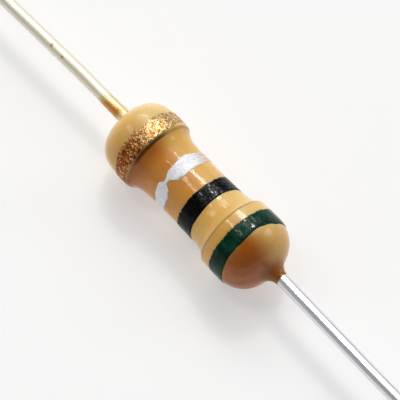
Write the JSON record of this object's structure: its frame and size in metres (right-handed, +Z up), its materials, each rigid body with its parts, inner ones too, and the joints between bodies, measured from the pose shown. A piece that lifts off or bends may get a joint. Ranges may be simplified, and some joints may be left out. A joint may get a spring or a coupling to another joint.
{
  "type": "axial resistor",
  "caption": "Small axial-lead film resistor: a waisted tan lacquered body with painted colour bands and a straight wire lead at each end, for soldering into a board.",
  "frame": {"origin": "middle of the ceramic rod, on its axis", "axes": "+X along the leads towards the gold tolerance band, +Z up with the body lying on a table, +Y away from someone who reads the bands from left to right"},
  "size_m": [0.0624, 0.0024, 0.0024],
  "materials": {
    "ceramic": "matte white fired ceramic",
    "carbon_film": "dull dark grey carbon film",
    "cap_steel": "plain pressed steel, tin plated",
    "tinned_wire": "bright drawn wire, tin plated",
    "tan_lacquer": "glossy, slightly translucent dipped lacquer",
    "green_paint": "glossy dark green paint",
    "black_paint": "glossy black paint",
    "silver_paint": "thin silver metallic paint",
    "gold_paint": "coarse gold metallic paint"
  },
  "bodies": {
    "root": {"ceramic_core": "ceramic", "resistive_film": "carbon_film", "left_end_cap": "cap_steel", "right_end_cap": "cap_steel", "left_lead": "tinned_wire", "right_lead": "tinned_wire", "lacquer_coat": "tan_lacquer", "green_band": "green_paint", "black_band": "black_paint", "silver_band": "silver_paint", "gold_band": "gold_paint"}
  },
  "joints": []
}
